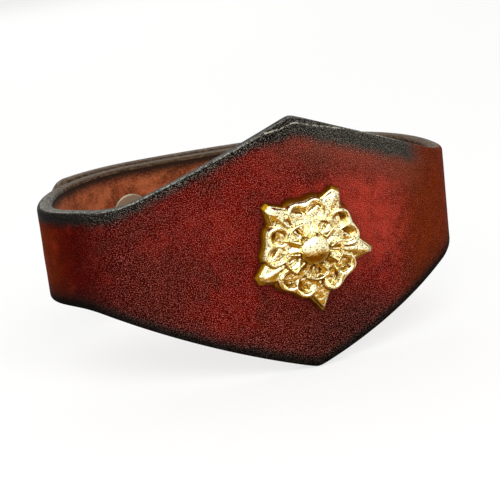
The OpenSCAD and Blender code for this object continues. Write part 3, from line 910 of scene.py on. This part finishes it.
# Skin of the rose: spokes, rings of the relief and rings of the side, the sizes of the hammered dents
# and the pits, how far they go on the low parts and the high ones, and the painted reflection on the
# side
ROSE_GRID = (640, 120, 6)
HAMMER_SIZE = 1.5
PIT_SIZE = 0.7
ROUGH_CAST = (0.8, 0.3)
SIDE_PAINTED_REFLECTION = 0.75


def hump(x, width):
    """A bell, exp(-(x / width)^2)."""
    return np.exp(-((x / width) ** 2))


def petal_edge(b):
    """Outline of an outer petal at b degrees from its middle: two lobes with a shallow notch between."""
    notch = LOBE_R - NOTCH_DEPTH * (1 + np.cos(np.radians(b * 180 / LOBE_ANGLE))) / 2
    return np.where(b < LOBE_ANGLE, notch, LOBE_R - 0.0005 * (b - LOBE_ANGLE) ** 2)


def leaf_angle(degrees):
    """Degrees from the middle of the nearest of five leaves; a petal's middle is 36 from it."""
    a = 36 - np.abs(36 - degrees % 72)
    return np.minimum(a, 72 - a)


def rose_leaf(a, degrees):
    """Outline of a leaf at a degrees from its middle: a straight line from its base to its blunt tip.

    Each leaf is blunted at its own reach, as on the photographed casting.
    """
    across, along = np.sin(np.radians(a)), np.cos(np.radians(a))
    slope = (LEAF_BASE_W - LEAF_TIP_W) / (1 - LEAF_BASE_R)
    reach = np.take(LEAF_REACH, ((degrees + 36) // 72).astype(int) % 5)
    return np.minimum((LEAF_TIP_W + slope) / (across + slope * along), reach / along)


def rose_relief(r, degrees):
    """Height of the rose, in shares: the highest of ribbed leaves, outer petals, inner cups and boss."""
    a = leaf_angle(degrees)
    b = 36 - a
    petal_d = np.minimum(petal_edge(b) - r, r * np.sin(np.radians(PETAL_HALF - b)))
    scoop_x = r * np.cos(np.radians(b)) - SCOOP_R * math.cos(math.radians(SCOOP_ANGLE))
    scoop_y = r * np.sin(np.radians(b)) - SCOOP_R * math.sin(math.radians(SCOOP_ANGLE))
    scoop = 1 - smooth(0.35, 1.0, np.hypot(scoop_x, scoop_y * 1.15) / SCOOP_SIZE)
    petal = FLOOR_LEVEL + 0.02 * (1 - smooth(0.45, 0.66, r)) - SCOOP_DEPTH * scoop
    petal = petal + RIM_RISE * hump(petal_d - PETAL_RIM, PETAL_RIM_WIDTH)
    petal = petal * smooth(-FLANK, FLANK, petal_d)
    cup_edge = CUP_R + 0.02 * np.cos(np.radians(6 * a))
    cup_d = np.minimum(cup_edge - r, r * np.sin(np.radians(CUP_HALF - a)))
    cup = CUP_LEVEL - 0.12 * smooth(0.26, 0.4, r) + CUP_RISE * hump(cup_d - CUP_RIM, CUP_RIM_WIDTH)
    cup = cup * smooth(-FLANK, FLANK, cup_d) * smooth(BOSS_R - 0.01, BOSS_R + 0.02, r)
    dome = BOSS_LEVEL + (1 - BOSS_LEVEL) * np.sqrt(np.clip(1 - (r / BOSS_R) ** 2, 0, 1))
    dome = np.where(r < BOSS_R, dome, 0)
    rib = RIB_RISE * hump(r * np.sin(np.radians(a)), RIB_WIDTH) * (1 - smooth(0.85, 1.0, r))
    rib = LEAF_LEVEL + rib - TIP_DROP * hump(rose_leaf(a, degrees) - r, TIP_WIDTH)
    return np.maximum(np.maximum(rib, petal), np.maximum(cup, dome))


def rose_outline(degrees):
    """Radius of the rose's outline, in shares: the further of leaf and petal."""
    a = leaf_angle(degrees)
    return np.maximum(rose_leaf(a, degrees), petal_edge(36 - a))


def rose_patina_and_shade(r, degrees, level):
    """Patina and painted shade, from 0 to 1: patina where a point lies below its surroundings, and
    painted shade where it faces the foot.

    The surroundings are the mean of eight points on two circles of 0.035 and 0.09 of the radius.
    """
    turn = np.radians(degrees)
    x, y = r * np.cos(turn), r * np.sin(turn)
    up = math.radians(90 - ROSE_TURN)

    def near(reach, towards):
        """Relief at a distance from here towards an angle."""
        there_x, there_y = x + reach * math.cos(towards), y + reach * math.sin(towards)
        return rose_relief(np.hypot(there_x, there_y), np.degrees(np.arctan2(there_y, there_x)))

    around = [near(reach, k * math.pi / 2 + reach * 9) for reach in (0.035, 0.09) for k in range(4)]
    # Painted shade: slopes that face the foot are darker, three times as much on the boss
    slope = (near(0.02, up) - near(-0.02, up)) / 0.04 * ROSE_HEIGHT / ROSE_RADIUS
    slope = slope * np.where(r < BOSS_R, 3.2, 1.0)
    return np.clip((np.mean(around, axis=0) - level) * 5 + slope - 0.1, 0, 1)


def cast_rose(materials, settings):
    """The rose as one closed skin on spokes and rings: relief on top, drafted side, flat back."""
    spokes, rings, wall = ROSE_GRID
    degrees = np.arange(spokes) * 360 / spokes
    r = rose_outline(degrees)[:, None] * (np.arange(1, rings + 1) / rings)
    angle = np.repeat(degrees[:, None], rings, 1)
    x = ROSE_RADIUS * r * np.cos(np.radians(angle))
    y = ROSE_RADIUS * r * np.sin(np.radians(angle))
    level = rose_relief(r, angle)
    hollow = rose_patina_and_shade(r, angle, level)
    z = ROSE_LIFT + ROSE_HEIGHT * level
    rough_cast = np.where(level < FLOOR_LEVEL + 0.06, *ROUGH_CAST)
    z += settings.hammer / MM * waves(x, y, HAMMER_SIZE, 11) * rough_cast
    z -= settings.pit / MM * np.clip(waves(x, y, PIT_SIZE, 13) * 4, 0, 1) * rough_cast
    z = np.minimum(z, ROSE_LIFT + ROSE_HEIGHT)

    # The side goes down along a quarter of a sine, so that its foot stands out, and is painted dark all
    # over as a reflection of the leather
    t = np.arange(1, wall + 1) / wall
    grown = 1 + ROSE_FOOT / ROSE_RADIUS * np.sin(t * math.pi / 2)
    x = np.concatenate([x, x[:, -1:] * grown], 1)
    y = np.concatenate([y, y[:, -1:] * grown], 1)
    z = np.concatenate([z, z[:, -1:] * (1 - t) + ROSE_LIFT * t], 1)
    # Painted reflection: the whole side gets a fixed share of the orange-brown patina colour
    hollow = np.concatenate([hollow, np.full((spokes, wall), SIDE_PAINTED_REFLECTION)], 1)
    hollow = np.concatenate([hollow.ravel(), [0, 1]])

    points = np.stack([x, y, z], -1).reshape(-1, 3)
    points = np.concatenate([points, [[0, 0, ROSE_LIFT + ROSE_HEIGHT], [0, 0, ROSE_LIFT]]])
    points = points @ np.array(Matrix.Rotation(math.radians(ROSE_TURN), 3, "Z")).T
    index = np.arange(z.size).reshape(z.shape)
    faces = [(f[:, ::-1], number) for f, number in capped_faces(index)]
    return mesh_object("cast_rose", on_front(points), faces, materials, {"hollow": hollow}, sharp=60)


class BRACER_OT_leather(bpy.types.Operator):
    """Make the leather: the front with its lapping end, and the inner end of the strap"""

    bl_idname = "bracer.leather"
    bl_label = "Leather"

    def execute(self, context):
        """Makes the two strips; each snap's place is carried over to the layer it goes through."""
        settings = context.scene.bracer_leather
        finishes = [grain_leather(settings), burnished_edge(settings), flesh_suede(settings)]
        inner_middle = inner_stops[0] + INNER_END
        inner_snaps = [inner_middle + SNAP_S - SNAP_PITCH, inner_middle + SNAP_S]
        back_scale = (BACK_RADIUS + LAYER_STEP) / BACK_RADIUS
        corner_scale = (LEFT_RADIUS + LAYER_STEP) / LEFT_RADIUS
        outer_middle = lap_stops[4] + (BACK_RADIUS + LAYER_STEP) * math.radians(RIGHT_TURN)
        outer_snaps = [
            outer_middle + (SNAP_S - SNAP_PITCH) * back_scale,
            outer_middle + BACK_LENGTH * back_scale + (SNAP_S - BACK_LENGTH) * corner_scale,
        ]

        def strip(name, place, side, length, grid, snaps, hole, dents):
            """A strip of leather with a hole and all the dents at each snap."""
            at_snaps = [(s, hole) for s in snaps], [(s, *dent) for dent in dents for s in snaps]
            return leather_strip(name, place, side, length, grid, *at_snaps, finishes, settings)

        pattern = 1, lap_stops[-1] - SEAM_S, LAP_GRID, outer_snaps, LAP_HOLE, LAP_DENTS
        lap = strip("leather_front_and_lap", lap_place, *pattern)
        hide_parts("front_panel", "cap_flap")
        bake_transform(lap)

        pattern = -1, inner_length, INNER_GRID, inner_snaps, INNER_HOLE, INNER_DENTS
        inner = strip("leather_inner_end", inner_place, *pattern)
        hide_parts("stud_flap")
        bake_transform(inner)
        return {"FINISHED"}


class BRACER_OT_rose(bpy.types.Operator):
    """Make the cast rose and the screw that holds it"""

    bl_idname = "bracer.rose"
    bl_label = "Rose and screw"

    def execute(self, context):
        """Makes the rose in place of its solid, and gives the screw's solid its finish."""
        settings = context.scene.bracer_rose
        rose = cast_rose([gold_plate(settings)], settings)
        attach(rose, "front")
        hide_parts("rose_concho")
        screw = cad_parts["concho_screw"]
        screw.data.materials.clear()
        screw.data.materials.append(plated_metal("brass_screw", settings.brass, 0.28))
        return {"FINISHED"}


class BRACER_OT_snaps(bpy.types.Operator):
    """Make the caps, sockets, springs, studs and eyelets of the two snaps"""

    bl_idname = "bracer.snaps"
    bl_label = "Snaps"

    def execute(self, context):
        """Makes every piece of both snaps in place of its solid."""
        settings = context.scene.bracer_snap
        finishes = {
            "nickel": plated_metal("nickel_plated_brass", settings.nickel, 0.22),
            "dull": plated_metal("oxidised_nickel_eyelet", settings.dull_nickel, 0.5),
            "steel": plated_metal("spring_steel_wire", settings.steel, 0.3),
        }
        for letter, s in (("a", SNAP_S), ("b", SNAP_S - SNAP_PITCH)):
            at = on_back(s)
            for kind, body, maker, finish in SNAP_PIECES:
                points, faces = maker()
                piece = mesh_object(f"{kind}_{letter}", at(points), faces, [finishes[finish]], sharp=40)
                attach(piece, body)
                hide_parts(f"{NODE_OF[kind]}_{letter}")
        return {"FINISHED"}


def cap():
    """Cap: low dome with a rolled edge, flat seat and a hollow post with its end rolled out."""
    roll_r = CAP_EDGE / 2
    dome_rise = CAP_HEIGHT - CAP_EDGE
    dome_r = ((CAP_R - roll_r) ** 2 + dome_rise**2) / (2 * dome_rise)
    middle = CAP_SEAT + CAP_HEIGHT - dome_r
    top_angle = np.linspace(0, math.asin((CAP_R - roll_r - 0.25) / dome_r), 24)[::-1]
    dome = np.stack([dome_r * np.sin(top_angle), middle + dome_r * np.cos(top_angle)], -1)
    dome[-1, 0] = 0
    roll_angle = np.radians(np.linspace(-90, 75, 12))
    roll_z = CAP_SEAT + roll_r + roll_r * np.sin(roll_angle)
    roll = np.stack([CAP_R - roll_r + roll_r * np.cos(roll_angle), roll_z], -1)
    rim_top = WEB_FOOT - 0.05
    rim_foot = rim_top - 0.35
    post = (
        (0, CAP_SEAT, 0),
        (POST_BORE_R, CAP_SEAT, 0),
        (POST_BORE_R, rim_foot, 0.17),
        (POST_RIM_R, rim_foot, 0.17),
        (POST_RIM_R, rim_top, 0.15),
        (POST_R, rim_top, 0.1),
        (POST_R, CAP_SEAT, 0),
        (SEAT_R, CAP_SEAT, 0),
    )
    return revolved(np.concatenate([rounded(post), roll, dome]), 128)


def spring():
    """Spring: round wire 0.36 mm thick carried round an open ring, with its two ends closed."""
    opening = math.radians(SPRING_OPENING)
    turn = np.linspace(opening / 2, 2 * math.pi - opening / 2, 72)[:, None]
    wire = np.arange(16) * 2 * math.pi / 16
    reach = GROOVE_R - WIRE_R - SPRING_PLAY + WIRE_R * np.cos(wire)
    z = np.repeat((GROOVE_FOOT + 0.25 + WIRE_R * np.sin(wire))[None], len(turn), 0)
    points = np.stack([reach * np.cos(turn), reach * np.sin(turn), z], -1).reshape(-1, 3)
    index = np.arange(len(points)).reshape(z.shape)
    sides = np.concatenate([index, index[:, :1]], 1)
    return points, [(grid_faces(sides), 0), (index[:1], 0), (index[-1:, ::-1], 0)]


# Rings as corners of (radius, height, rounding). A socket is a cup with a mouth, a groove for the
# spring and a web round the post
SOCKET_CORNERS = (
    (MOUTH_R, SOCKET_FOOT, 0.2),
    (SOCKET_R, SOCKET_FOOT, 0.5),
    (SOCKET_R, SOCKET_TOP, 0.4),
    (WEB_HOLE_R, SOCKET_TOP, 0.05),
    (WEB_HOLE_R, WEB_FOOT, 0.05),
    (WELL_R, WEB_FOOT, 0.05),
    (WELL_R, GROOVE_TOP, 0.05),
    (GROOVE_R, GROOVE_TOP, 0),
    (GROOVE_R, GROOVE_FOOT, 0),
    (MOUTH_R, GROOVE_FOOT, 0.1),
)
# A stud is a flange let into the leather and a round head with a waist, open up the middle
STUD_CORNERS = (
    (STUD_BORE_R, STUD_FOOT, 0.05),
    (FLANGE_R, STUD_FOOT, 0.1),
    (FLANGE_R, STUD_TOP, 0.25),
    (NECK_R, STUD_TOP, 0.15),
    (NECK_R, STUD_TOP + 0.4, 0.1),
    (HEAD_R, STUD_TOP + 0.55, 0.1),
    (HEAD_R, HEAD_TOP, 0.24),
    (HEAD_WELL_R, HEAD_TOP, 0.05),
    (HEAD_WELL_R, HEAD_TOP - 0.5, 0),
    (STUD_BORE_R, HEAD_TOP - 0.5, 0),
)
# An eyelet is a flange with a rolled edge on the flesh side, a tube, and a rim rolled out in the stud
EYELET_CORNERS = (
    (TUBE_BORE_R, EYELET_FOOT, 0.35),
    (EYELET_R, EYELET_FOOT, 0.35),
    (EYELET_R, EYELET_SEAT, 0.25),
    (TUBE_R, EYELET_SEAT, 0.1),
    (TUBE_R, HEAD_TOP - 0.45, 0.05),
    (TUBE_RIM_R, HEAD_TOP - 0.45, 0.1),
    (TUBE_RIM_R, HEAD_TOP - 0.1, 0.1),
    (TUBE_BORE_R, HEAD_TOP - 0.1, 0.15),
)
SNAP_PIECES = (
    ("snap_cap_dome", "cap_end", cap, "nickel"),
    ("snap_socket_cup", "cap_end", lambda: revolved(rounded(SOCKET_CORNERS), 112), "nickel"),
    ("snap_spring_ring", "cap_end", spring, "steel"),
    ("snap_stud_post", "stud_end", lambda: revolved(rounded(STUD_CORNERS), 96), "nickel"),
    ("snap_eyelet_disc", "stud_end", lambda: revolved(rounded(EYELET_CORNERS), 96), "dull"),
)
NODE_OF = {
    "snap_cap_dome": "snap_cap",
    "snap_socket_cup": "snap_socket",
    "snap_spring_ring": "socket_spring",
    "snap_stud_post": "snap_stud",
    "snap_eyelet_disc": "snap_eyelet",
}


# Stage, in metres: the bracer's middle, half the floor, the brown card, and the lamps' distance
MIDDLE = Vector((0, PLAN_SHIFT, STRAP_MIDDLE)) * MM
FLOOR_HALF = (6.0, 6.0)
CARD_HALF = (0.095, 0.040)
CARD_Y = -0.070
CARD_Z = 0.0002
LAMP_DISTANCE = 0.6

# Lamps: name of the setting for the power, size in metres, azimuth and elevation in degrees
LAMPS = (("key", 0.5, 8, 48), ("fill", 0.6, -50, 30), ("back", 0.7, 190, 35))

# Camera fitted to the photo: azimuth, elevation and roll in degrees, distance, lens and shifts
CAMERA_TURN = (-10.15, 15.02, 6.88)
CAMERA_DISTANCE = 0.2857
CAMERA_LENS = 105.5
CAMERA_SHIFT = (0.00386, -0.0614)


def towards(azimuth, elevation):
    """Direction from the bracer's middle at an azimuth and elevation in radians; 0, 0 is in front."""
    level = math.cos(elevation)
    return Vector((math.sin(azimuth) * level, -math.cos(azimuth) * level, math.sin(elevation)))


def area_lamp(name, power, size, azimuth, elevation):
    """A square soft lamp that looks at the bracer's middle from an azimuth and elevation in degrees."""
    back = towards(math.radians(azimuth), math.radians(elevation))
    lamp = bpy.data.lights.new(name, "AREA")
    lamp.energy = power
    lamp.size = size
    made = bpy.data.objects.new(name, lamp)
    made.location = MIDDLE + back * LAMP_DISTANCE
    made.rotation_mode = "QUATERNION"
    made.rotation_quaternion = (-back).to_track_quat("-Z", "Y")
    bpy.context.scene.collection.objects.link(made)


def sheet(name, half, y, z, finish):
    """A flat rectangle of two half sizes, with its middle at x 0."""
    turns = np.array([(-1, -1), (1, -1), (1, 1), (-1, 1)])
    corners = np.stack([turns[:, 0] * half[0], turns[:, 1] * half[1] + y, np.full(4, z)], -1)
    return mesh_object(name, corners, [(np.arange(4)[None], 0)], [finish])


def white_paper_floor(settings):
    """White paper that its own glow keeps even, as in a photographer's tent."""
    made, add = material("white_paper_floor")
    tooth = add("noise", add("coordinates"), 1 / (0.4 * MM), 2.0)
    paper = add("shader", settings.floor, add("bump", 0.01 * MM, tooth), 0.95, 0.0, 0.1)
    share = add("multiply", add("rays")["Is Camera Ray"], 0.7)
    add("output", add("shader_mix", share, paper, add("emission", (1, 1, 1, 1), 1.0)))
    return made


def brown_card(settings):
    """Matt brown card, which gives the gold its brown undersides and isn't seen itself."""
    made, add = material("brown_card")
    add("output", add("shader", settings.card, None, 0.9, 0.0, 0.1))
    return made


def white_room(settings):
    """A world that lights the bracer softly, and is plain white to the camera and in reflections."""
    world = bpy.data.worlds.new("white_room")
    world.use_nodes = True
    world.node_tree.nodes.clear()
    add = partial(node, world.node_tree)
    rays = add("rays")
    seen = add("maximum", rays["Is Camera Ray"], rays["Is Transmission Ray"])
    seen = add("maximum", seen, rays["Is Glossy Ray"])
    strength = add("range", seen, 0.0, 1.0, settings.room, 1.0)
    add("world_output", add("background", (1, 1, 1, 1), strength))
    return world


def photo_camera():
    """The camera that was fitted to the photo."""
    azimuth, elevation, roll = (math.radians(v) for v in CAMERA_TURN)
    right = Vector((math.cos(azimuth), math.sin(azimuth), 0))
    back = towards(azimuth, elevation)
    up = back.cross(right)
    across = right * math.cos(roll) - up * math.sin(roll)
    upward = right * math.sin(roll) + up * math.cos(roll)
    lens = bpy.data.cameras.new("photo_camera")
    lens.sensor_width = 36
    lens.lens = CAMERA_LENS
    lens.shift_x, lens.shift_y = CAMERA_SHIFT
    lens.clip_start = 0.01
    lens.clip_end = 30
    camera = bpy.data.objects.new("photo_camera", lens)
    turn = Matrix((across, upward, back)).transposed().to_4x4()
    camera.matrix_world = Matrix.Translation(MIDDLE + back * CAMERA_DISTANCE) @ turn
    return camera


class BRACER_OT_stage(bpy.types.Operator):
    """Make the floor, the lamps, the room's light and the camera"""

    bl_idname = "bracer.stage"
    bl_label = "Stage"

    def execute(self, context):
        """Makes the stage; the card is hidden from the camera and lights nothing but reflections."""
        settings = context.scene.bracer_stage
        scene = context.scene
        floor = sheet("paper_floor", FLOOR_HALF, 0, 0, white_paper_floor(settings))
        card = sheet("brown_card", CARD_HALF, CARD_Y, CARD_Z, brown_card(settings))
        card.visible_camera = card.visible_diffuse = card.visible_shadow = False
        for key, size, azimuth, elevation in LAMPS:
            area_lamp(f"{key}_lamp", getattr(settings, key), size, azimuth, elevation)
        scene.world = white_room(settings)
        scene.camera = photo_camera()
        scene.collection.objects.link(scene.camera)
        scene.view_settings.view_transform = "Standard"
        return {"FINISHED"}


class BRACER_PT_panel(bpy.types.Panel):
    """Sizes and colours of the bracer, and the buttons that make its pieces"""

    bl_label = "Leather bracer"
    bl_idname = "BRACER_PT_panel"
    bl_space_type = "VIEW_3D"
    bl_region_type = "UI"
    bl_category = "Bracer"

    def draw(self, context):
        """Draws each step's settings above its button."""
        for key, _, operator in STEPS:
            box = self.layout.box()
            settings = getattr(context.scene, key)
            for name in settings.__annotations__:
                box.prop(settings, name)
            box.operator(operator.bl_idname)


# Steps: the settings' name on the scene, their class, and the operator that uses them
STEPS = (
    ("bracer_leather", LeatherSettings, BRACER_OT_leather),
    ("bracer_rose", RoseSettings, BRACER_OT_rose),
    ("bracer_snap", SnapSettings, BRACER_OT_snaps),
    ("bracer_stage", StageSettings, BRACER_OT_stage),
)
CLASSES = (*(made for _, *pair in STEPS for made in pair), BRACER_PT_panel)


def register():
    """Registers the classes and gives the scene each group of settings."""
    for made in CLASSES:
        bpy.utils.register_class(made)
    for key, group, _ in STEPS:
        setattr(bpy.types.Scene, key, PointerProperty(type=group))


def unregister():
    """Takes away what register brought."""
    for key, _, _ in STEPS:
        delattr(bpy.types.Scene, key)
    for made in reversed(CLASSES):
        bpy.utils.unregister_class(made)


def main():
    """Makes every piece by its operator."""
    register()
    bpy.ops.bracer.leather()
    bpy.ops.bracer.rose()
    bpy.ops.bracer.snaps()
    bpy.ops.bracer.stage()


if __name__ == "__main__":
    main()
